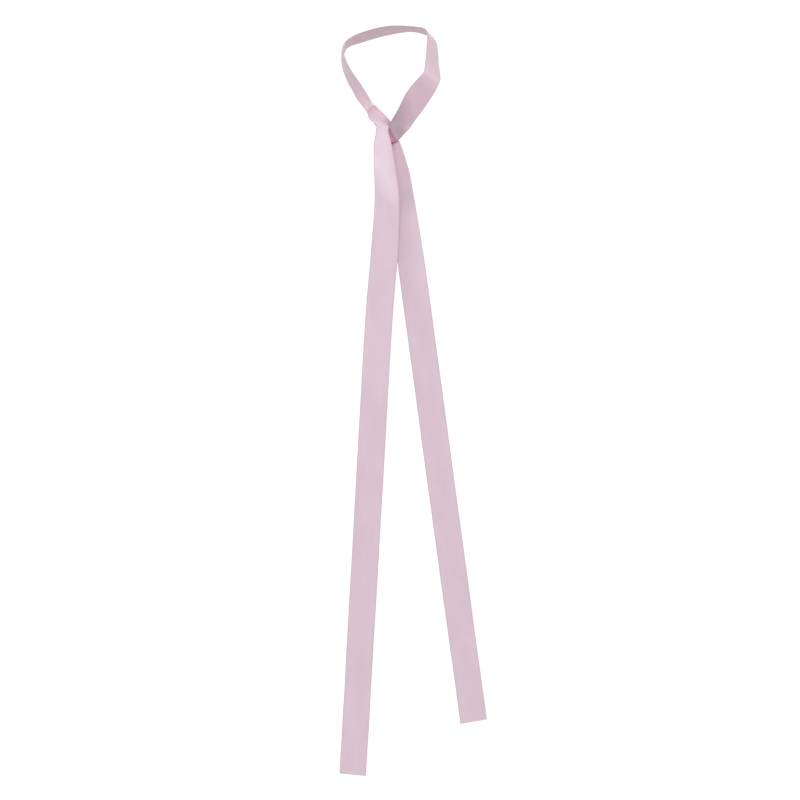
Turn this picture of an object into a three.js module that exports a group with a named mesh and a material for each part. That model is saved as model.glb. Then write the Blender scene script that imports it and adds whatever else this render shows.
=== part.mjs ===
// Skinny scarf, worn round the neck in a half knot, with both tails hanging down the front.
// It is one long strip of cloth, folded lengthwise and sewn into a flat, pressed tube, so it is
// modelled as one closed band that is carried along one path, from tail end to tail end.
// Millimetres. +Z is up, the front of the wearer looks towards -Y, and +X is on the viewer's right.
// The origin is the centre of the neck opening, where the neck would hold the scarf up.

import * as THREE from 'three';

// Driving dimensions of the band
const BAND_WIDTH = 32;
const BAND_THICKNESS = 1.2;
const MOST_GATHERED = 2; // gathered cloth bunches up to this many times its thickness

// How finely the band is cut into faces
const FACES_ACROSS = 12;
const ROUNDING_FACES = 4; // faces round each pressed edge
const TURN_PER_FACE = 10; // degrees of bend or twist
const CURL_START = 0.15; // the middle of the band stays flat, as a share of its half width
const CURL_SPAN = 0.75;

// The knot has axes of its own. The left strand runs straight through it along KNOT_ALONG, which
// slopes down to the right. KNOT_OUT points across the strand, up to the right.
const KNOT_CENTRE = new THREE.Vector3(-7, -60, -68.5);
const KNOT_SLOPE = THREE.MathUtils.degToRad(55.8);
const KNOT_ALONG = new THREE.Vector3(Math.cos(KNOT_SLOPE), 0, -Math.sin(KNOT_SLOPE));
const KNOT_OUT = new THREE.Vector3(Math.sin(KNOT_SLOPE), 0, Math.cos(KNOT_SLOPE));
const KNOT_FRONT = new THREE.Vector3(0, -1, 0);

// Every row is one place along the scarf. x, y, z is the middle of the band. The across columns
// point over the band to the edge that is the upper one round the neck. width is how wide the band
// is there, gathered or flat, and curl is how many degrees each edge turns back.
const placed = ([x, y, z, acrossX, acrossY, acrossZ, width, curl]) => ({
  middle: new THREE.Vector3(x, y, z),
  across: new THREE.Vector3(acrossX, acrossY, acrossZ).normalize(),
  width,
  curl,
});

// Inside the knot a place is given by its distance out from the left strand, in front of it, and
// along it. lean turns the band's across direction away from the strand, in degrees, seen from the front.
function knotted([out, front, along, lean, width, curl]) {
  const middle = KNOT_CENTRE.clone()
    .addScaledVector(KNOT_OUT, out)
    .addScaledVector(KNOT_FRONT, front)
    .addScaledVector(KNOT_ALONG, along);
  const across = KNOT_ALONG.clone().negate().applyAxisAngle(KNOT_FRONT, THREE.MathUtils.degToRad(lean));
  return { middle, across, width, curl };
}

// x, y, z, acrossX, acrossY, acrossZ, width, curl
const RIGHT_TAIL = [
  [103.4, -78, -774, 0.98, 0.2, 0.16, 32, 0], // cut end
  [67.8, -78, -513.5, 1, 0.08, 0.14, 32, 0],
  [32.7, -76, -254.5, 1, 0, 0.14, 32, 0], // opened flat
  [20.3, -71, -166, 1, 0, 0.14, 30, 25],
  [15, -66.5, -127, 1, 0, 0.2, 27, 35], // fans out below the knot
  [11, -62, -102.5, 1, 0, 0.35, 20, 35],
];

// out, front, along, lean, width, curl
const LEFT_STRAND_IN_KNOT = [
  [-0.5, -0.3, 29, -98, 15, 15], // leaves the knot
  [0, 0, 22, -90, 12.5, 0],
  [0, 0, 0, -90, 12, 0],
  [0, 0, -23.5, -90, 11.5, 0], // enters the knot
];

// x, y, z, acrossX, acrossY, acrossZ, width, curl
const NECK_LOOP = [
  [-24.2, -56.3, -42.5, 0.66, -0.48, 0.58, 14, 0], // left leg, gathering
  [-29.5, -52, -34.5, 0.4, -0.72, 0.58, 20, 0],
  [-37, -43, -22, 0.1, -0.81, 0.58, 28, 0],
  [-46, -29, -5.5, -0.01, -0.77, 0.64, 32, 0],
  [-51.5, -13, 9, 0, -0.7, 0.71, 32, 0], // left side of the neck
  [-53, -2, 18.5, 0.06, -0.68, 0.73, 32, 0],
  [-50.2, 9, 26.3, 0.08, -0.76, 0.6, 32, 0],
  [-43, 22, 34.8, 0.25, -0.88, 0.36, 32, 0],
  [-27.5, 39, 44.2, 0.2, -0.9, 0.38, 32, 0], // nape
  [0, 51, 52.5, 0.02, -0.96, 0.25, 32, 0],
  [25.5, 49, 54.5, -0.28, -0.94, 0.17, 32, 0],
  [42.7, 40, 51.2, -0.42, -0.87, 0.22, 32, 0],
  [52.2, 29, 46.8, -0.38, -0.88, 0.29, 32, 0],
  [55.3, 20, 39.5, -0.38, -0.82, 0.38, 32, 0], // right side of the neck
  [56.1, 9, 30.5, -0.41, -0.72, 0.55, 32, 0],
  [56, -5, 17.5, -0.46, -0.63, 0.64, 32, 0],
  [56, -21, 2.5, -0.54, -0.65, 0.54, 32, 0],
  [54.8, -33, -10.8, -0.6, -0.74, 0.27, 32, 0], // bends over the collar bone
  [50.3, -38.5, -19, -0.62, -0.67, 0.4, 32, 0],
  [41.5, -43.5, -31.5, -0.61, -0.55, 0.57, 32, 0], // right leg
  [29.5, -51, -50, -0.61, -0.55, 0.57, 31, 0],
  [21.8, -56, -63.3, -0.64, -0.44, 0.63, 27, 0],
  [14, -60.5, -74.4, -0.8, -0.12, 0.58, 21.5, 0], // gathers into the knot
  [9, -62.8, -81.3, -0.72, 0, 0.7, 19.8, 0],
];

// out, front, along, lean, width, curl
const WRAP = [
  [0.5, 3.1, 19.5, 3, 18, 0], // crosses in front of the left strand
  [-5.2, 2.9, 15.5, 0, 18, 0],
  [-8.1, 0, 13, 0, 18, 0], // turns under it
  [-5.2, -2.9, 10.5, 0, 18, 0],
  [0, -3, 3.5, 0, 20, 0], // passes behind it
  [5.4, -2.9, -4, 6, 25, 0],
  [9.2, 0.2, -7.8, 9.5, 26.6, 0], // comes up over it
  [6.7, 3.7, -7, 16, 29.5, 0],
];

// x, y, z, acrossX, acrossY, acrossZ, width, curl
const FRONT_TAIL = [
  [-8.5, -64.5, -62.5, -0.86, 0, 0.51, 30, 0], // falls over the knot
  [-7.5, -65, -69, -0.94, 0, 0.35, 24.5, 0],
  [-4, -66, -73, -0.97, 0, 0.22, 15.5, 0], // gathered crease
  [-3.9, -67, -80, -1, 0, 0.02, 15.5, 15],
  [-3.5, -69, -94, -1, 0, 0.02, 22, 30],
  [-1.5, -73.5, -119, -1, 0, 0, 27, 38], // fans out below the knot
  [1.5, -81, -158.5, -1, 0, 0.02, 30.5, 30],
  [-1.2, -88, -220, -1, 0, 0.05, 32, 10],
  [-7.1, -90, -290.5, -1, 0, 0.06, 32, 0], // opened flat
  [-20.1, -90, -513.5, -1, 0.1, 0.06, 32, 0],
  [-38.6, -90, -835, -0.97, 0.25, 0.07, 32, 0], // cut end
];

const stations = [
  ...RIGHT_TAIL.map(placed),
  ...LEFT_STRAND_IN_KNOT.map(knotted),
  ...NECK_LOOP.map(placed),
  ...WRAP.map(knotted),
  ...FRONT_TAIL.map(placed),
];

// Smooth curves through the stations: the middle line, the across direction, and width with curl.
const middleCurve = new THREE.CatmullRomCurve3(stations.map((s) => s.middle), false, 'centripetal');
const acrossCurve = new THREE.CatmullRomCurve3(stations.map((s) => s.across), false, 'catmullrom');
const gathers = stations.map((s) => new THREE.Vector3(s.width, s.curl, 0));
const gatherCurve = new THREE.CatmullRomCurve3(gathers, false, 'catmullrom');

// How far a run of directions turns in all, in degrees
function totalTurn(directions) {
  let turn = 0;
  for (let i = 1; i < directions.length; i += 1) {
    turn += directions[i - 1].angleTo(directions[i]);
  }
  return THREE.MathUtils.radToDeg(turn);
}

// Places along the path, 0 to 1, closer together where the band bends or twists
function sectionPlaces() {
  const probes = 24;
  const last = stations.length - 1;
  const places = [0];
  for (let i = 0; i < last; i += 1) {
    const samples = Array.from({ length: probes + 1 }, (_, k) => (i + k / probes) / last);
    const bend = totalTurn(samples.map((t) => middleCurve.getTangent(t)));
    const twist = totalTurn(samples.map((t) => acrossCurve.getPoint(t)));
    const steps = Math.max(1, Math.ceil(bend / TURN_PER_FACE), Math.ceil(twist / TURN_PER_FACE));
    for (let k = 1; k <= steps; k += 1) {
      places.push((i + k / steps) / last);
    }
  }
  return places;
}

// Half of the band's middle line in its own plane, from the centre to one edge: how far across,
// how far back, and the angle by which the curled edge has turned there.
function halfProfile(halfWidth, curl) {
  const steps = FACES_ACROSS / 2;
  const angleAt = (share) => {
    const curled = THREE.MathUtils.smoothstep(share, CURL_START, CURL_START + CURL_SPAN);
    return THREE.MathUtils.degToRad(curl) * curled;
  };
  const points = [{ across: 0, back: 0, angle: 0 }];
  for (let i = 1; i <= steps; i += 1) {
    const before = points[i - 1];
    const middle = angleAt((i - 0.5) / steps);
    points.push({
      across: before.across + (Math.cos(middle) * halfWidth) / steps,
      back: before.back + (Math.sin(middle) * halfWidth) / steps,
      angle: angleAt(i / steps),
    });
  }
  return points;
}

// The closed outline of the band where it is cut at one place: outer face, rounded edge, inner
// face, rounded edge. Every outline has the same number of points.
function outline(place) {
  const { x: gatheredWidth, y: curl } = gatherCurve.getPoint(place);
  const width = Math.min(gatheredWidth, BAND_WIDTH);
  const thickness = BAND_THICKNESS * Math.min(BAND_WIDTH / width, MOST_GATHERED);
  const middle = middleCurve.getPoint(place);
  const across = acrossCurve.getPoint(place).normalize();
  const outward = new THREE.Vector3().crossVectors(across, middleCurve.getTangent(place)).normalize();

  const half = halfProfile((width - thickness) / 2, curl);
  const mirrored = half.slice(1).reverse().map((p) => ({ ...p, across: -p.across, angle: -p.angle }));
  const profile = [...mirrored, ...half];
  const point = (p, turn) => {
    const direction = p.angle + turn;
    return middle.clone()
      .addScaledVector(across, p.across + (Math.sin(direction) * thickness) / 2)
      .addScaledVector(outward, -p.back + (Math.cos(direction) * thickness) / 2);
  };

  const upperEdge = profile[profile.length - 1];
  const lowerEdge = profile[0];
  const rounding = Array.from({ length: ROUNDING_FACES - 1 }, (_, k) => ((k + 1) * Math.PI) / ROUNDING_FACES);
  return [
    ...profile.map((p) => point(p, 0)),
    ...rounding.map((turn) => point(upperEdge, turn)),
    ...profile.slice().reverse().map((p) => point(p, Math.PI)),
    ...rounding.map((turn) => point(lowerEdge, Math.PI + turn)),
  ];
}

// Joins the outlines into one closed skin and closes both cut ends.
function bandGeometry() {
  const outlines = sectionPlaces().map(outline);
  const around = outlines[0].length;
  const positions = outlines.flat().flatMap((p) => p.toArray());
  const triangles = [];
  for (let i = 0; i + 1 < outlines.length; i += 1) {
    for (let j = 0; j < around; j += 1) {
      const a = i * around + j;
      const b = i * around + ((j + 1) % around);
      // both faces are split along the same diagonal, so that they stay parallel where the band twists
      if (j < around / 2) {
        triangles.push(a, b, a + around, b, b + around, a + around);
      } else {
        triangles.push(a, b, b + around, a, b + around, a + around);
      }
    }
  }

  // A cut end is closed with strips between its outer and inner face, and a fan at each edge
  const closeEnd = (start, flip) => {
    const outer = (j) => start + j;
    const inner = (j) => start + 2 * FACES_ACROSS + ROUNDING_FACES - j;
    const add = (a, b, c) => triangles.push(...(flip ? [a, c, b] : [a, b, c]));
    for (let j = 0; j < FACES_ACROSS; j += 1) {
      add(outer(j), outer(j + 1), inner(j));
      add(outer(j + 1), inner(j + 1), inner(j));
    }
    for (let k = 0; k < ROUNDING_FACES - 1; k += 1) {
      add(outer(FACES_ACROSS) + k, outer(FACES_ACROSS) + k + 1, inner(FACES_ACROSS));
      add(inner(0) + k, inner(0) + k + 1, outer(0));
    }
  };
  closeEnd(0, true);
  closeEnd((outlines.length - 1) * around, false);

  const geometry = new THREE.BufferGeometry();
  geometry.setAttribute('position', new THREE.Float32BufferAttribute(positions, 3));
  geometry.setIndex(triangles);
  geometry.computeVertexNormals();
  return geometry;
}

const cloth = new THREE.MeshStandardMaterial({ color: 0xd9c3cc, roughness: 0.6, metalness: 0 });
const band = new THREE.Mesh(bandGeometry(), cloth);
band.name = 'scarf_band';

const scarf = new THREE.Group();
scarf.add(band);

export default scarf;
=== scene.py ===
# %% [markdown]
# # A skinny satin scarf, tied in a half knot
# The real scarf is one strip of satin, folded lengthwise, sewn into a flat tube, turned and pressed.
# It is laid round in a loop, crosses over itself once in front and hangs down in two tails.
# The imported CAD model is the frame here: it fixes every size and place, and this script gives the
# same band its cloth, its soft folds and its satin finish.

# %% Load the frame
import bpy
import numpy as np
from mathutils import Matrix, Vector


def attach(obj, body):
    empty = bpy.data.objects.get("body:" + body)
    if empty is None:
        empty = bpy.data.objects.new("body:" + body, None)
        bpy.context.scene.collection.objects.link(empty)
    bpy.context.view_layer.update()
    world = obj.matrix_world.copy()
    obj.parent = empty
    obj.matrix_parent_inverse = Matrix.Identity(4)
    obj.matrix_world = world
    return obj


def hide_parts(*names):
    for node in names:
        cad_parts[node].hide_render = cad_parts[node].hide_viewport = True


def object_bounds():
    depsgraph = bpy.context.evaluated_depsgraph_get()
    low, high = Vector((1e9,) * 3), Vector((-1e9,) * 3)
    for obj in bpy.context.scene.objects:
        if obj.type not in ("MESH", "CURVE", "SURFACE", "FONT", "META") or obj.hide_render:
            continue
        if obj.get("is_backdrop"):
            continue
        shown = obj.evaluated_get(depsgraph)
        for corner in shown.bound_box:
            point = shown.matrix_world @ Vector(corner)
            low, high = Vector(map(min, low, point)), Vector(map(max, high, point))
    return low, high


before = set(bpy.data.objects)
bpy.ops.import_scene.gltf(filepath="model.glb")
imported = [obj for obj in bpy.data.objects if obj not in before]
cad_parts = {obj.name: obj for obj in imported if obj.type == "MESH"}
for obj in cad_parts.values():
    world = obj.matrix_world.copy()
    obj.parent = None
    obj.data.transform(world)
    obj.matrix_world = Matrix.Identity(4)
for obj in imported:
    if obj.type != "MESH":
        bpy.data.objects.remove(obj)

cad_low, cad_high = (list(corner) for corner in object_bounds())
print("frame size in mm:", np.round((np.array(cad_high) - np.array(cad_low)) * 1000, 1))

# %% [markdown]
# ## The camera
# The photograph looks straight and level at the front, from far enough away that the tails show
# almost no perspective. A long lens four metres off gives that. It could also be an orthographic
# camera, but a real lens keeps the slight narrowing of what lies further back.

# %% Camera
METRES_PER_MM = 0.001
CAMERA_DISTANCE = 4.0

camera_data = bpy.data.cameras.new("front_camera")
camera_data.lens = 150
camera_data.sensor_width = 36
camera = bpy.data.objects.new("front_camera", camera_data)
camera.location = (0.0168, -CAMERA_DISTANCE, -0.396)
camera.rotation_euler = (np.pi / 2, 0, 0)
bpy.context.collection.objects.link(camera)
bpy.context.scene.camera = camera
print("picture is", round(CAMERA_DISTANCE * camera_data.sensor_width / camera_data.lens, 3), "m wide at the loop")

# %% [markdown]
# ## The path of the band
# A ribbon is described best by where its middle runs, which way it faces and how far it is gathered.
# Each row below is one such place, in millimetres. The rows are the CAD part's own, but for a few beside the knot
# and at the left turn of the loop, which follow the cloth a few millimetres closer. The across columns point over
# the band to the edge that is the upper one round the loop. Width is 32 where the band lies flat and less where it
# is gathered, and curl is how many degrees each edge turns back.

# %% Places along the tails and round the loop
# x, y, z, across x, across y, across z, width, curl
RIGHT_TAIL = [
    [103.4, -78, -774, 0.98, 0.2, 0.16, 32, 0],
    [67.8, -78, -513.5, 1, 0.08, 0.14, 32, 0],
    [32.7, -76, -254.5, 1, 0, 0.14, 32, 0],
    [20.3, -71, -166, 1, 0, 0.14, 30, 25],
    [15, -66.5, -127, 1, 0, 0.2, 27, 35],
    [11, -62, -102.5, 1, 0, 0.35, 20, 35],
]
LOOP = [
    [-24.2, -56.3, -42.5, 0.66, -0.48, 0.58, 14, 0],
    [-29.5, -52, -34.5, 0.4, -0.72, 0.58, 20, 0],
    [-37, -43, -22, 0.1, -0.81, 0.58, 28, 0],
    [-46, -29, -5.5, -0.01, -0.77, 0.64, 32, 0],
    [-51.7, -13, 9, 0, -0.7, 0.71, 32, 7],
    [-53.3, -2, 17.7, 0.05, -0.7, 0.7, 32, 14],
    [-51.4, 9, 25.9, 0.13, -0.8, 0.56, 32, 12],
    [-43.8, 22, 36, 0.24, -0.88, 0.36, 32, 4],
    [-27.5, 39, 43.9, 0.2, -0.9, 0.34, 32, 0],
    [0, 51, 52.5, 0.02, -0.96, 0.25, 32, 0],
    [25.5, 49, 54.9, -0.28, -0.94, 0.12, 32, 0],
    [42.7, 40, 51.2, -0.42, -0.87, 0.22, 32, 0],
    [52.2, 29, 46.8, -0.38, -0.88, 0.29, 32, 0],
    [55.3, 20, 39.5, -0.38, -0.82, 0.38, 32, 0],
    [56.1, 9, 30.5, -0.41, -0.72, 0.55, 32, 0],
    [56, -5, 17.5, -0.46, -0.63, 0.64, 32, 0],
    [56, -21, 2.5, -0.54, -0.65, 0.54, 32, 0],
    [54.8, -33, -10.8, -0.6, -0.74, 0.27, 32, 0],
    [50.3, -38.5, -19, -0.62, -0.67, 0.4, 32, 0],
    [41.5, -43.5, -31.5, -0.61, -0.55, 0.57, 32, 0],
    [29.5, -51, -50, -0.61, -0.55, 0.57, 31, 0],
    [21.8, -56, -63.3, -0.64, -0.44, 0.63, 27, 0],
    [14, -60.5, -74.4, -0.8, -0.12, 0.58, 21.5, 0],
    [9, -62.8, -81.3, -0.72, 0, 0.7, 19.8, 0],
]
FRONT_TAIL = [
    [-8.5, -64.7, -62.5, -0.86, 0, 0.51, 30, 8],
    [-7.5, -65, -69, -0.94, 0, 0.35, 24.5, 0],
    [-4, -66, -73, -0.97, 0, 0.22, 15.5, 0],
    [-3.9, -67, -80, -1, -0.04, 0.02, 15.4, 6],
    [-3.5, -70, -94, -1, -0.1, 0.02, 21.1, 9],
    [-1.5, -76, -119, -1, -0.14, 0, 25.1, 10],
    [1.5, -82, -158.5, -1, 0.03, 0.02, 29.1, 9],
    [-1.2, -87.4, -220, -1, 0.03, 0.05, 32, 6],
    [-7.1, -90, -290.5, -1, 0, 0.06, 32, 0],
    [-20.1, -90, -513.5, -1, 0.1, 0.06, 32, 0],
    [-38.6, -90, -835, -0.97, 0.25, 0.07, 32, 0],
]
print("places outside the knot:", len(RIGHT_TAIL) + len(LOOP) + len(FRONT_TAIL))

# %% [markdown]
# ## The way through the knot
# In a half knot one end passes over the other strand, round behind it and up over the front again. Here the right
# leg of the loop does that round the left strand, and comes out as the front tail. A rope tool could wind one curve
# round another, but the rows must leave room for the cloth's own thickness. So they are given from the middle of the
# knot: out from the left strand, in front of it and along it, and then how far the band leans out of that line.

# %% Places inside the knot
# out from the left strand, in front of it, along it, lean, width, curl
LEFT_STRAND_IN_KNOT = [
    [-0.5, -0.3, 29, -98, 15, 15],
    [0, 0, 22, -90, 12.5, 0],
    [0, 0, 0, -90, 12, 0],
    [0, 0, -23.5, -90, 11.5, 0],
]
WRAP = [
    [0.5, 3.1, 19.5, 3, 18, 0],
    [-5.2, 2.9, 15.5, 0, 18, 0],
    [-8.1, 0, 13, 0, 18, 0],
    [-5.2, -2.9, 10.5, 0, 18, 0],
    [0, -3, 3.5, 0, 20, 0],
    [5.4, -2.9, -4, 6, 25, 0],
    [9.3, 0.2, -7.8, 9.5, 26.6, 4],
    [6.7, 4.2, -7, 16, 29.5, 7],
]
KNOT_CENTRE = np.array([-7, -60, -68.5])
KNOT_SLOPE = np.radians(55.8)
KNOT_ALONG = np.array([np.cos(KNOT_SLOPE), 0, -np.sin(KNOT_SLOPE)])
KNOT_OUT = np.array([np.sin(KNOT_SLOPE), 0, np.cos(KNOT_SLOPE)])
KNOT_FRONT = np.array([0, -1, 0])


def knot_rows(rows):
    """Rows of the knot turned into rows of the frame. The middle is centre + out·OUT + front·FRONT +
    along·ALONG, and the across direction is cos(lean)·(-ALONG) + sin(lean)·(FRONT x -ALONG)."""
    out, front, along, lean, width, curl = np.array(rows, float).T[:, :, None]
    middle = KNOT_CENTRE + out * KNOT_OUT + front * KNOT_FRONT + along * KNOT_ALONG
    lean = np.radians(lean)
    across = np.cos(lean) * -KNOT_ALONG + np.sin(lean) * np.cross(KNOT_FRONT, -KNOT_ALONG)
    return np.hstack([middle, across, width, curl])


places = np.vstack([RIGHT_TAIL, knot_rows(LEFT_STRAND_IN_KNOT), LOOP, knot_rows(WRAP), FRONT_TAIL])
print("all places:", places.shape[0])

# %% [markdown]
# ## Smooth curves through the places
# Cloth bends evenly between the places where it is held. A Catmull-Rom curve passes through every row and
# leaves each one smoothly. Blender's own curve objects could do this, but then how wide and how curled the band
# is would have to be matched to them, so here all columns go through the same few lines of numpy.

# %% Curves
def unit(vectors):
    """Every vector divided by its own length."""
    return vectors / np.linalg.norm(vectors, axis=-1, keepdims=True)


def through(rows, at, evenly):
    """Catmull-Rom curve through rows at the row numbers at. Between rows b and c, at w from 0 to 1, it is
    b + m·w + (3(c - b) - 2m - n)·w² + (2(b - c) + m + n)·w³. The slopes m and n are half of the steps between
    the neighbours where evenly is true, and else come from the square roots of the distances. Gives the points
    and their slopes."""
    rows = np.asarray(rows, float)
    padded = np.vstack([2 * rows[0] - rows[1], rows, 2 * rows[-1] - rows[-2]])
    start = np.minimum(at.astype(int), len(rows) - 2)
    w = (at - start)[:, None]
    a, b, c, d = (padded[start + k] for k in range(4))
    if evenly:
        m, n = (c - a) / 2, (d - b) / 2
    else:
        ab, bc, cd = (np.sqrt(np.linalg.norm(q - p, axis=1, keepdims=True)) for p, q in ((a, b), (b, c), (c, d)))
        m = ((b - a) / ab - (c - a) / (ab + bc) + (c - b) / bc) * bc
        n = ((c - b) / bc - (d - b) / (bc + cd) + (d - c) / cd) * bc
    square, cube = 3 * (c - b) - 2 * m - n, 2 * (b - c) + m + n
    return b + m * w + square * w**2 + cube * w**3, m + 2 * square * w + 3 * cube * w**2


def band_at(at):
    """Middle, direction of travel, across direction, width and curl at the row numbers at, one row each."""
    middle, travel = through(places[:, :3], at, evenly=False)
    across = unit(through(unit(places[:, 3:6]), at, evenly=True)[0])
    width, curl = through(places[:, 6:], at, evenly=True)[0].T
    return middle, unit(travel), across, np.minimum(width, 32), curl


probe = np.linspace(0, len(places) - 1, 20001)
probe_middle, probe_travel, probe_across, probe_width, _ = band_at(probe)
probe_steps = np.linalg.norm(np.diff(probe_middle, axis=0), axis=1)
BAND_LENGTH = probe_steps.sum()
print("length along the middle:", round(BAND_LENGTH, 1), "mm")

# %% [markdown]
# The cross sections lie close together where the band bends or is gathered, and further apart in the tails.
# Adding up how much happens along the path, and then sharing that out evenly, puts each section where it is needed.

# %% Where the cross sections go
LONGEST_STEP = 2.6
TURN_PER_STEP = np.radians(3.2)


def turning(directions):
    """Angle between each direction and the next, from the length of their difference."""
    return 2 * np.arcsin(np.clip(np.linalg.norm(np.diff(directions, axis=0), axis=1) / 2, 0, 1))


busy = np.maximum(probe_steps / LONGEST_STEP, (turning(probe_travel) + turning(probe_across)) / TURN_PER_STEP)
gather_between = 32 / probe_width[1:] - 1
busy = np.maximum(busy, probe_steps * gather_between / 1.1)
so_far = np.concatenate([[0], np.cumsum(busy)])
section_count = int(so_far[-1]) + 1
at = np.interp(np.linspace(0, so_far[-1], section_count), so_far, probe)
distance = np.interp(at, probe, np.concatenate([[0], np.cumsum(probe_steps)]))
print("cross sections:", section_count)

# %% [markdown]
# ## The cross section of the cloth
# Pressed flat, the tube is two plies thick. It is a little fuller in the middle than at its pressed edges.
# Below the knot the cloth fans out of its gathers, and there both edges turn back. A profile that is walked
# outwards from the middle, turning as it goes, keeps the cloth's own width however far it curls.

# %% Half profile
STEPS_TO_EDGE = 17
CURL_START, CURL_SPAN = 0.15, 0.75


def ease(x):
    """0 up to 0, 1 from 1 on, and 3x² - 2x³ in between."""
    x = np.clip(x, 0, 1)
    return x * x * (3 - 2 * x)


def half_profile(half_width, curl):
    """Distance over, distance back and turning angle of one half of the band, from its middle to its edge.
    The angle is curl·ease((share - 0.15) / 0.75), and over and back add up its cosine and sine."""
    share = np.linspace(0, 1, STEPS_TO_EDGE + 1)
    angle = np.radians(curl)[:, None] * ease((share - CURL_START) / CURL_SPAN)
    halfway = np.radians(curl)[:, None] * ease(((share[1:] + share[:-1]) / 2 - CURL_START) / CURL_SPAN)
    step = half_width[:, None] / STEPS_TO_EDGE
    over = np.hstack([0 * step, np.cumsum(np.cos(halfway) * step, axis=1)])
    back = np.hstack([0 * step, np.cumsum(np.sin(halfway) * step, axis=1)])
    return over, back, angle


def whole(half, sign):
    """A half profile and its mirror image, edge to edge. sign is -1 for what changes sides."""
    return np.hstack([sign * half[:, :0:-1], half])


middle, travel, across, width, curl = band_at(at)
outward = unit(np.cross(across, travel))
gather = np.clip(32 / width, 1, 2)
v = np.linspace(-1, 1, 2 * STEPS_TO_EDGE + 1)[None, :]
half_thick = (0.30 + 0.14 * (1 - v**6)) * (1 + gather[:, None]) / 2
over, back, angle = half_profile(width / 2 - half_thick[:, 0], curl)
over, back, angle = whole(over, -1), whole(back, 1), whole(angle, -1)
print("thickness from", round(2 * half_thick.min(), 2), "to", round(2 * half_thick.max(), 2), "mm")

# %% [markdown]
# ## Folds and ripples
# Even pressed satin is never quite flat. Where it is gathered, soft pleats run lengthwise and die out as the
# band widens. In the hanging tails the cloth falls in long shallow waves, and its edges ripple a little. The
# right leg of the loop has one slanted crease, where it turns down from the side towards the knot.
# A cloth simulation could give folds too, but on a band that is held this tightly it would move the knot, so
# the folds are sums of a few sines, which shift each row of the band along its own outward direction.

# %% Height of the folds
RIGHT_LEG_CREASE, CREASE_SLANT, CREASE_WIDTH, CREASE_DEPTH = 1122, 9.8, 9, 1.3
PLEAT_SHARE = 0.25

s = distance[:, None]
room = 0.6 * gather[:, None] - half_thick
pleats = 0.6 * np.sin(2 * np.pi * 1.35 * v + 0.9 + 0.5 * np.sin(s / 31)) + 0.4 * np.sin(
    2 * np.pi * 2.2 * v - 0.6 + 0.6 * np.sin(s / 19 + 1)
)
pleat_height = PLEAT_SHARE * room * ease((gather[:, None] - 1.02) / 0.6)

loose = ease((-170 - middle[:, 2:]) / 170)
waves = 0.55 * np.sin(2 * np.pi * s / 163 + 0.9 * v) + 0.28 * np.sin(2 * np.pi * s / 71 + 2 - 1.4 * v)
edge_ripple = 0.22 * v**4 * np.sin(2 * np.pi * s / 29 + 1.6 * v + 0.8 * np.sin(s / 47))
past_crease = s - (RIGHT_LEG_CREASE - CREASE_SLANT * v)
crease = -CREASE_DEPTH * np.exp(-((past_crease / CREASE_WIDTH) ** 2))
height = pleats * pleat_height + loose * (waves + edge_ripple) + crease
print("folds reach", round(np.abs(height).max(), 2), "mm")

# %% [markdown]
# ## Seam and closed ends
# The long edge where the tube was sewn hides a seam allowance of about 6 mm between its plies, which shows as
# a very low step. The two ends are turned in by 8 mm and closed, so they are a little thicker too.

# %% Steps over the hidden cloth
SEAM_ALLOWANCE = 6.0
END_ALLOWANCE = 8.0

from_seam = (v + 1) * 16
from_end = np.minimum(s, BAND_LENGTH - s)
seam_step = 0.055 * (1 - ease((from_seam - SEAM_ALLOWANCE + 0.5) / 1.0))
end_step = 0.075 * (1 - ease((from_end - END_ALLOWANCE + 0.6) / 1.2))
full_edge = ease((1 - np.abs(v)) / 0.06)
half_thick = half_thick + (seam_step + end_step) * full_edge
print("thickest place:", round(2 * half_thick.max(), 2), "mm")

# %% [markdown]
# ## The band's skin
# Outer face, rounded edge, inner face and the other rounded edge make one closed outline for each cross
# section. Joined up they give one skin all the way along, and at each end the outlines draw together in a
# small round and a strip closes them. The sewn edge has a fine groove where the two plies meet.

# %% Outlines
ROUND_POINTS = 6


def outlines(middle, travel, across, outward, over, back, angle, height, half_thick):
    """Closed outlines, one a row. A face point is middle + over·across - back·outward + (height ± half_thick)·n,
    where n = sin(angle)·across + cos(angle)·outward. An edge point turns n further, by up to half a circle."""
    across, outward = across[:, None], outward[:, None]

    def heading(turned):
        return np.sin(turned)[..., None] * across + np.cos(turned)[..., None] * outward

    sheet = middle[:, None] + over[..., None] * across - back[..., None] * outward + height[..., None] * heading(angle)
    turn = np.linspace(0, np.pi, ROUND_POINTS + 2)[1:-1][None, :]
    groove = 1 - 0.3 * np.exp(-(((turn - np.pi / 2) / 0.3) ** 2))
    lift = half_thick[..., None] * heading(angle)
    upper = sheet[:, -1:] + half_thick[:, -1:, None] * heading(angle[:, -1:] + turn)
    lower = sheet[:, :1] + (half_thick[:, :1] * groove)[..., None] * heading(angle[:, :1] + np.pi + turn)
    return np.concatenate([sheet + lift, upper, (sheet - lift)[:, ::-1], lower], axis=1)


# %% [markdown]
# The two straight ends are closed edges, turned in and pressed, so they are round and not sharp. A Bevel modifier
# could round them, but it would round every other edge too, so each end gets a few more rows that grow thinner.

# %% Rounded ends
def round_off(columns, last):
    """Four more rows beyond the first or last section. At q from 21 to 80 degrees each lies 0.45·sin(q) mm
    further out and keeps cos(q) of its thickness."""
    q = np.radians([21, 42, 62, 80])
    pick, way = (-1, 1) if last else (0, -1)
    extra = [np.repeat(column[pick][None], len(q), axis=0) for column in columns]
    extra[0] = extra[0] + way * 0.45 * np.sin(q)[:, None] * extra[1]
    extra[-1] = extra[-1] * np.cos(q)[:, None]
    return extra if last else [column[::-1] for column in extra]


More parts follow.
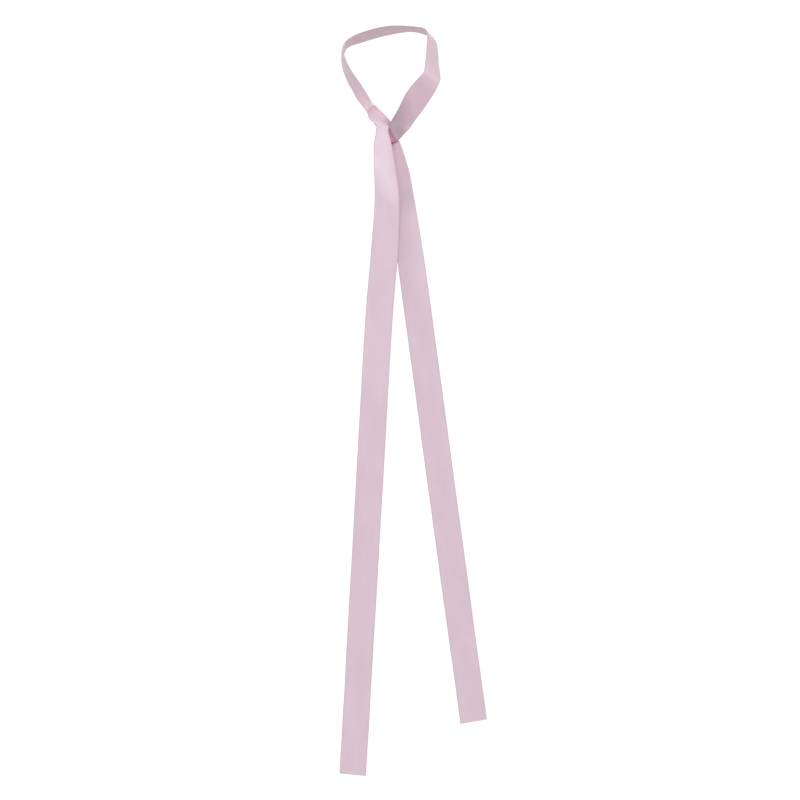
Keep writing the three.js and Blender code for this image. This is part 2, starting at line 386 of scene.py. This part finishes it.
columns = [middle, travel, across, outward, over, back, angle, height, half_thick]
before, after = round_off(columns, last=False), round_off(columns, last=True)
skin = outlines(*(np.concatenate(three) for three in zip(before, columns, after)))
rows, around = skin.shape[:2]
print("skin of", rows, "rows with", around, "points each")

# %% [markdown]
# Joining each outline to the next gives the faces. bmesh could bridge the outlines one by one, but all corners can
# be counted at once: point j of row i is number i·around + j, and a face joins four neighbours.

# %% Faces
FACE_POINTS = 2 * STEPS_TO_EDGE + 1


def ring_quads(rows, around):
    """Four corners of every face between row i and i + 1 and between point j and j + 1, with j going round."""
    i, j = np.meshgrid(np.arange(rows - 1), np.arange(around), indexing="ij")
    corners_row = np.stack([i, i, i + 1, i + 1], -1).reshape(-1, 4)
    corners_point = np.stack([j, j + 1, j + 1, j], -1).reshape(-1, 4)
    return corners_row, corners_point


def end_faces(row, flip):
    """Strip that closes one end: quads between outer point j and the inner point behind it, and one small face
    in each rounded edge."""
    outer = np.arange(FACE_POINTS)
    inner = 2 * FACE_POINTS + ROUND_POINTS - 1 - outer
    strip = np.stack([outer[:-1], inner[:-1], inner[1:], outer[1:]], -1)
    upper = np.arange(FACE_POINTS - 1, FACE_POINTS + ROUND_POINTS + 1)[::-1]
    lower = np.append(np.arange(2 * FACE_POINTS + ROUND_POINTS - 1, around), 0)[::-1]
    faces = [*strip, upper, lower]
    return [(face[::-1] if flip else face) for face in faces], row


quad_rows, quad_points = ring_quads(rows, around)
faces = (quad_rows * around + quad_points % around).tolist()
corner_rows, corner_points = [quad_rows.ravel()], [quad_points.ravel()]
for closing, row in (end_faces(0, True), end_faces(rows - 1, False)):
    faces += [(row * around + face).tolist() for face in closing]
    corner_points += closing
    corner_rows.append(np.full(sum(len(face) for face in closing), row))
corner_rows, corner_points = np.concatenate(corner_rows), np.concatenate(corner_points)
print("faces:", len(faces))

# %% [markdown]
# ## The hollow beside the knot, and painted shade and red light
# Where the right leg of the loop dives under the knot it is pushed back into a small hollow, and the light that
# gets there has passed through pink cloth and comes out almost red. The leg itself, the start of the right tail and
# the sides of the roll are turned away from the window and look greyer. Lights alone could do this, but soft light
# reaches round everything and flattens so thin a band. So two attributes paint that shade and that red light into
# the colour, each point of the mesh with its own share, and they follow the cloth in any view.

# %% Hollow of the knot
LEG_END = 1167
HOLLOW_DEPTH = 0.9
# x and z of the corners, clockwise as seen from the front, with the edge along the leg first
HOLLOW = np.array([[4.6, -71.7], [15.5, -90], [6.2, -99], [-2, -84]])


def depth_inside(points, corners):
    """How far each point lies inside a clockwise outline of corners, in x and z: from its first edge, and from
    the nearest one. A distance is ((p - c) x edge) / |edge|, and negative outside."""
    edges = unit(np.roll(corners, -1, axis=0) - corners)
    away = points[..., None, :] - corners
    distances = away[..., 1] * -edges[:, 0] + away[..., 0] * edges[:, 1]
    return distances[..., 0], distances.min(axis=-1)


from_leg, deep = depth_inside(skin[..., [0, 2]], HOLLOW)
on_leg = np.pad((s > LEG_END - 37) & (s < LEG_END + 1), ((4, 4), (0, 0)), mode="edge")
skin[..., 1] += HOLLOW_DEPTH * ease(from_leg / 5) * ease((deep + 0.3) / 1.6) * on_leg
# Painted red light in the hollow: a share of the red tone, which grows stronger towards the bottom of the hollow.
painted_red_light = ease((skin[..., 1] + 68) / 2.5) * ease((deep + 0.4) / 1.8) * ease((from_leg + 1.5) / 5.5)
painted_red_light = painted_red_light * (0.55 + 0.45 * ease((-76 - skin[..., 2]) / 12))
print("points in the hollow:", int((painted_red_light > 0.5).sum()))

# %% Shares of painted shade and of painted pink light
TAIL_TOP, LEG_START, ROLL_START, ROLL_END = 690, 1078, 1200, 1228

# Painted shade in the greyer tone: on the right leg, deepest past its crease towards the knot, at the top of the right
# tail, on the sides of the roll, and on the front tail below its highlight, where it stands in for the tail's turning.
leg_shade = 0.2 + 0.25 * ease((past_crease + 5) / 9) + 0.45 * ease(past_crease / 36) + 0.12 * ease((s - 1146) / 10)
leg_shade = leg_shade * ease((s - LEG_START) / 15) * (s < LEG_END)
right_tail_top_shade = 0.4 * ease((s - 590) / 40) * (s < TAIL_TOP)
on_roll = ease((s - ROLL_START) / 8) * ease((ROLL_END - s) / 6)
roll_side_shade = (0.45 + 0.3 * np.sign(-v)) * np.abs(v) ** 1.7 * on_roll
front_tail_bend_shade = 0.14 * ease((s - 1311 + 13 * v) / 14) * ease((1450 - s) / 120)
# Painted pink light, as from light bounced off pink cloth in shaded places, in the same red tone as the hollow: on the
# start of the right tail, the sides of the roll and a few stretches of the loop and the knot.
painted_pink_light = (
    (0.3 - 0.2 * v) * ease((s - 630) / 35) * (s < TAIL_TOP)
    + 0.4 * v**2 * on_roll
    + 0.13 * ease((s - 840) / 40) * ease((1150 - s) / 20)
    + 0.1 * ease((s - 1160) / 8) * ease((1224 - s) / 8)
    + 0.14 * ease((s - 740) / 4) * ease((795 - s) / 25)
)


def all_round(on_sections):
    """Values of one face repeated over the rounded edges, the other face and the rounded ends."""
    face = np.pad(on_sections, ((4, 4), (0, 0)), mode="edge")
    first, last = face[:, :1].repeat(ROUND_POINTS, 1), face[:, -1:].repeat(ROUND_POINTS, 1)
    return np.hstack([face, last, face[:, ::-1], first])


painted_shade = all_round(leg_shade + right_tail_top_shade + roll_side_shade + front_tail_bend_shade)
painted_red_light = np.maximum(painted_red_light, all_round(painted_pink_light))
print("largest shares:", round(painted_shade.max(), 2), round(painted_red_light.max(), 2))

# %% [markdown]
# A weave follows the cloth, not the room, so the band gets its own flat coordinates in metres: how far along
# the scarf, and how far round the tube from its sewn edge. They are the UV map that the satin reads.

# %% Make the band
flat_along = np.concatenate([np.full(4, distance[0]), distance, np.full(4, distance[-1])]) * METRES_PER_MM
face_round = (v[0] + 1) * 16
edge_points = np.ones(ROUND_POINTS)
flat_round = np.concatenate([face_round, 32 * edge_points, 32 + face_round, 64 * edge_points, [64]]) * METRES_PER_MM

band_mesh = bpy.data.meshes.new("satin_band")
band_mesh.from_pydata((skin.reshape(-1, 3) * METRES_PER_MM).tolist(), [], faces)
cloth_map = band_mesh.uv_layers.new(name="cloth")
cloth_map.uv.foreach_set("vector", np.stack([flat_along[corner_rows], flat_round[corner_points]], -1).ravel())
for name, share in (("hollow", painted_red_light), ("painted_shade", painted_shade)):
    band_mesh.attributes.new(name, "FLOAT", "POINT").data.foreach_set("value", share.ravel())
band_mesh.shade_smooth()
band_mesh.validate()
band = bpy.data.objects.new("satin_band", band_mesh)
bpy.context.collection.objects.link(band)
print("band of", sum(len(face) - 2 for face in faces), "triangles")

# %% [markdown]
# ## Satin
# In a satin weave long threads float over many others, so the face is smooth and its shine soft and broad.
# The cloth is a pale greyish pink. It could be one plain colour with a gloss, but real satin shows fine
# streaks along its threads and a slight unevenness of colour, all at their own scale. Its pressed edges get painted
# shade.

# %% Node helpers
def node(tree, kind, **sockets):
    """A new node of that kind. Each named socket gets a link if it is given one, and else a value."""
    new = tree.nodes.new("ShaderNode" + kind)
    for name, value in sockets.items():
        wire(tree, value, new.inputs[name.replace("_", " ")])
    return new


def wire(tree, value, socket):
    """Links an output to the socket, or sets the socket to a plain value."""
    if isinstance(value, bpy.types.NodeSocket):
        tree.links.new(value, socket)
    else:
        socket.default_value = value


def sum_up(tree, operation, *values):
    """The output of a Math node that works on the values in order."""
    new = tree.nodes.new("ShaderNodeMath")
    new.operation = operation
    for value, socket in zip(values, new.inputs):
        wire(tree, value, socket)
    return new.outputs[0]


satin = bpy.data.materials.new("pale_pink_satin")
satin.use_nodes = True
tree = satin.node_tree
cloth_uv = tree.nodes.new("ShaderNodeUVMap")
cloth_uv.uv_map = "cloth"
flat = node(tree, "SeparateXYZ", Vector=cloth_uv.outputs["UV"])
along_cloth, round_cloth = flat.outputs["X"], flat.outputs["Y"]
print("satin reads the map", cloth_uv.uv_map)

# %% [markdown]
# The weave is far finer than a pixel, but close up it shows as fine threads that dip where one goes under another.
# A picture of cloth could be tiled over it, but it would blur close up and repeat, so the threads are worked out.

# %% Woven threads
THREAD = 0.00032
FLOAT_LENGTH = 0.0022


def weave_height(tree):
    """Height of the weave from 0 to 1. A thread is |sin(pi·round / THREAD)|, and it dips where it goes under,
    once in every FLOAT_LENGTH, two fifths further on in each next thread."""
    thread_number = sum_up(tree, "FLOOR", sum_up(tree, "DIVIDE", round_cloth, THREAD))
    crown = sum_up(tree, "ABSOLUTE", sum_up(tree, "SINE", sum_up(tree, "MULTIPLY", round_cloth, np.pi / THREAD)))
    shift = sum_up(tree, "MULTIPLY", thread_number, 0.4 * np.pi)
    turns = sum_up(tree, "MULTIPLY_ADD", along_cloth, np.pi / FLOAT_LENGTH, shift)
    dip = sum_up(tree, "POWER", sum_up(tree, "ABSOLUTE", sum_up(tree, "COSINE", turns)), 10.0)
    return sum_up(tree, "MULTIPLY", crown, sum_up(tree, "MULTIPLY_ADD", dip, -0.7, 1.0))


weave = weave_height(tree)
print("threads to the centimetre:", round(0.01 / THREAD))

# %% [markdown]
# No dye or thread is quite even. Plain noise would give round spots, so it is stretched along the cloth: long thin
# streaks for single threads, and wider clouds for the dye.

# %% Streaks and unevenness
def stretched_noise(tree, length, breadth, detail):
    """Noise from 0 to 1 with spots about length long and breadth wide on the cloth, in metres."""
    place = node(
        tree,
        "CombineXYZ",
        X=sum_up(tree, "DIVIDE", along_cloth, length),
        Y=sum_up(tree, "DIVIDE", round_cloth, breadth),
    )
    return node(tree, "TexNoise", Vector=place.outputs[0], Scale=1.0, Detail=detail, Roughness=0.55).outputs[0]


streaks = stretched_noise(tree, 0.030, 0.0009, 3.0)
clouds = stretched_noise(tree, 0.070, 0.022, 2.0)
print("streaks 30 mm long, clouds 70 mm long")

# %% [markdown]
# Two near tones of pink take turns with the unevenness, painted shade darkens the pressed edges, and the two
# attributes bring in painted shade and painted red light. A colour ramp could hold them all, but separate blends keep
# each cause apart.

# %% Colour
PINK = (0.745, 0.580, 0.662, 1)
ROSE = (0.712, 0.540, 0.624, 1)
# painted shade along the rounded pressed edges
EDGE_SHADE = (0.585, 0.430, 0.500, 1)
# painted shade of the cloth that is turned away from the lights
SHADED = (0.420, 0.290, 0.358, 1)
# painted red light in the hollow, and pink bounced light round it
PAINTED_RED_LIGHT = (0.560, 0.220, 0.300, 1)


def blend_colour(tree, share, first, second):
    """first where share is 0 and second where it is 1."""
    new = tree.nodes.new("ShaderNodeMix")
    new.data_type = "RGBA"
    wire(tree, share, new.inputs[0])
    wire(tree, first, new.inputs[6])
    wire(tree, second, new.inputs[7])
    return new.outputs[2]


def ramp(tree, value, low, high):
    """0 below low, 1 above high and smooth in between."""
    new = node(tree, "MapRange", Value=value, From_Min=low, From_Max=high)
    new.interpolation_type = "SMOOTHSTEP"
    return new.outputs[0]


# Painted shade along the pressed edges: within about a millimetre of each rounded edge of the tube the colour turns
# darker.
ply_place = sum_up(tree, "SUBTRACT", sum_up(tree, "PINGPONG", round_cloth, 0.032), 0.016)
to_edge = sum_up(tree, "SUBTRACT", 0.016, sum_up(tree, "ABSOLUTE", ply_place))
edge_shade_share = sum_up(tree, "SUBTRACT", 1.0, ramp(tree, to_edge, 0.0001, 0.0011))
uneven = sum_up(tree, "ADD", sum_up(tree, "MULTIPLY", clouds, 0.7), sum_up(tree, "MULTIPLY", streaks, 0.3))
colour = blend_colour(tree, ramp(tree, uneven, 0.34, 0.66), PINK, ROSE)
colour = blend_colour(tree, sum_up(tree, "MULTIPLY", edge_shade_share, 0.75), colour, EDGE_SHADE)
# The two attributes paint shade onto the cloth that is turned away, and red and pink light into the hollow and round
# it.
for name, tone in (("painted_shade", SHADED), ("hollow", PAINTED_RED_LIGHT)):
    mask = node(tree, "Attribute")
    mask.attribute_name = name
    colour = blend_colour(tree, mask.outputs["Fac"], colour, tone)
print("colours: pink, rose, the pressed edge, the turned away cloth and the hollow")

# %% [markdown]
# ## Shine
# Satin floats all run along the scarf, so its highlight is drawn out across it. An anisotropic gloss with its
# tangent on the cloth map does that. A clearcoat or a glossy mix could shine as much, but evenly in all directions, as
# plastic does. A little light also passes under the surface and comes out warmer, and the threads give a fine relief.

# %% Gloss and relief
gloss = tree.nodes["Principled BSDF"]
roughness = sum_up(tree, "MULTIPLY_ADD", streaks, 0.08, 0.38)
relief = sum_up(tree, "MULTIPLY_ADD", streaks, 0.55, sum_up(tree, "MULTIPLY", weave, 0.45))
bump = node(tree, "Bump", Strength=0.15, Distance=0.00008, Height=relief)
wire(tree, colour, gloss.inputs["Base Color"])
wire(tree, roughness, gloss.inputs["Roughness"])
wire(tree, bump.outputs[0], gloss.inputs["Normal"])
threads = node(tree, "Tangent")
threads.direction_type = "UV_MAP"
threads.uv_map = "cloth"
wire(tree, threads.outputs[0], gloss.inputs["Tangent"])
gloss.inputs["Anisotropic"].default_value = 0.75
gloss.inputs["Anisotropic Rotation"].default_value = 0.25
gloss.inputs["Sheen Weight"].default_value = 0.05
gloss.inputs["Sheen Roughness"].default_value = 0.4
gloss.inputs["Sheen Tint"].default_value = (1.0, 0.93, 0.96, 1)
gloss.inputs["Specular IOR Level"].default_value = 0.8
gloss.inputs["Subsurface Weight"].default_value = 0.12
gloss.inputs["Subsurface Radius"].default_value = (1.0, 0.35, 0.5)
gloss.inputs["Subsurface Scale"].default_value = 0.001
band_mesh.materials.append(satin)
print("nodes in the satin:", len(tree.nodes))

# %% [markdown]
# ## Studio
# The photograph is lit softly on a white ground, and the brightest cloth is where the front tail slopes forwards and
# up, so the main light is a window high in front. Wider windows at the left, the right and behind round off the rest.
# They could be suns, which need no place, but only a light with a size gives satin its broad soft shine. The world is
# white to the eye and gives about two thirds of that as fill light. The pale floor lies well below the tails, so that
# it sends up no strip of light and stays out of the picture.

# %% Floor
FLOOR_HEIGHT = -1.35

bpy.ops.mesh.primitive_circle_add(vertices=128, radius=2, fill_type="NGON", location=(0, 0, FLOOR_HEIGHT))
floor = bpy.context.object
floor.name = "studio_floor"
floor_paint = bpy.data.materials.new("pale_floor")
floor_paint.use_nodes = True
matt = floor_paint.node_tree.nodes["Principled BSDF"]
matt.inputs["Base Color"].default_value = (0.86, 0.86, 0.86, 1)
matt.inputs["Roughness"].default_value = 0.9
matt.inputs["Specular IOR Level"].default_value = 0.1
floor.data.materials.append(floor_paint)
floor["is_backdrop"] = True
print("floor at", FLOOR_HEIGHT, "m")

# %% Lights
FILL = 0.66
SEEN_WHITE = 1.05
AIM = (0, 0, -0.25)


def soft_light(name, place, size, watts):
    """A square area light of that size at place, turned so that it shines on AIM."""
    data = bpy.data.lights.new(name, "AREA")
    data.size, data.energy = size, watts
    light = bpy.data.objects.new(name, data)
    light.location = place
    aim = np.array(AIM) - np.array(place)
    across_floor = np.hypot(aim[0], aim[1])
    light.rotation_euler = (np.arctan2(across_floor, -aim[2]), 0, np.arctan2(-aim[0], aim[1]))
    bpy.context.collection.objects.link(light)
    return light


soft_light("front_window", (0.1, -2.85, 1.25), 0.9, 26)
soft_light("left_window", (-2.6, -1.4, 1.2), 1.6, 15)
soft_light("right_window", (2.4, 0.1, 1.6), 1.6, 19)
soft_light("back_fill", (0, 2.8, 0.8), 1.6, 12)

sky = bpy.data.worlds.new("white_studio")
bpy.context.scene.world = sky
sky.use_nodes = True
sky_tree = sky.node_tree
ground = sky_tree.nodes["Background"]
ground.inputs["Color"].default_value = (1, 1, 1, 1)
seen = sky_tree.nodes.new("ShaderNodeLightPath").outputs["Is Camera Ray"]
wire(sky_tree, sum_up(sky_tree, "MULTIPLY_ADD", seen, SEEN_WHITE - FILL, FILL), ground.inputs["Strength"])
bpy.context.scene.view_settings.view_transform = "Standard"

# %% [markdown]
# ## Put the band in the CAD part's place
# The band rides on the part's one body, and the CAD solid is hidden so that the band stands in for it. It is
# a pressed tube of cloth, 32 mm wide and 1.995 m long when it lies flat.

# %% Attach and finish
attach(band, "root")
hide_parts("scarf_band")
low, high = (list(corner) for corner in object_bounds())
outside = max(np.max(np.array(cad_low) - low), np.max(np.array(high) - cad_high))
print("largest step outside the CAD box, in mm:", round(1000 * outside, 2))
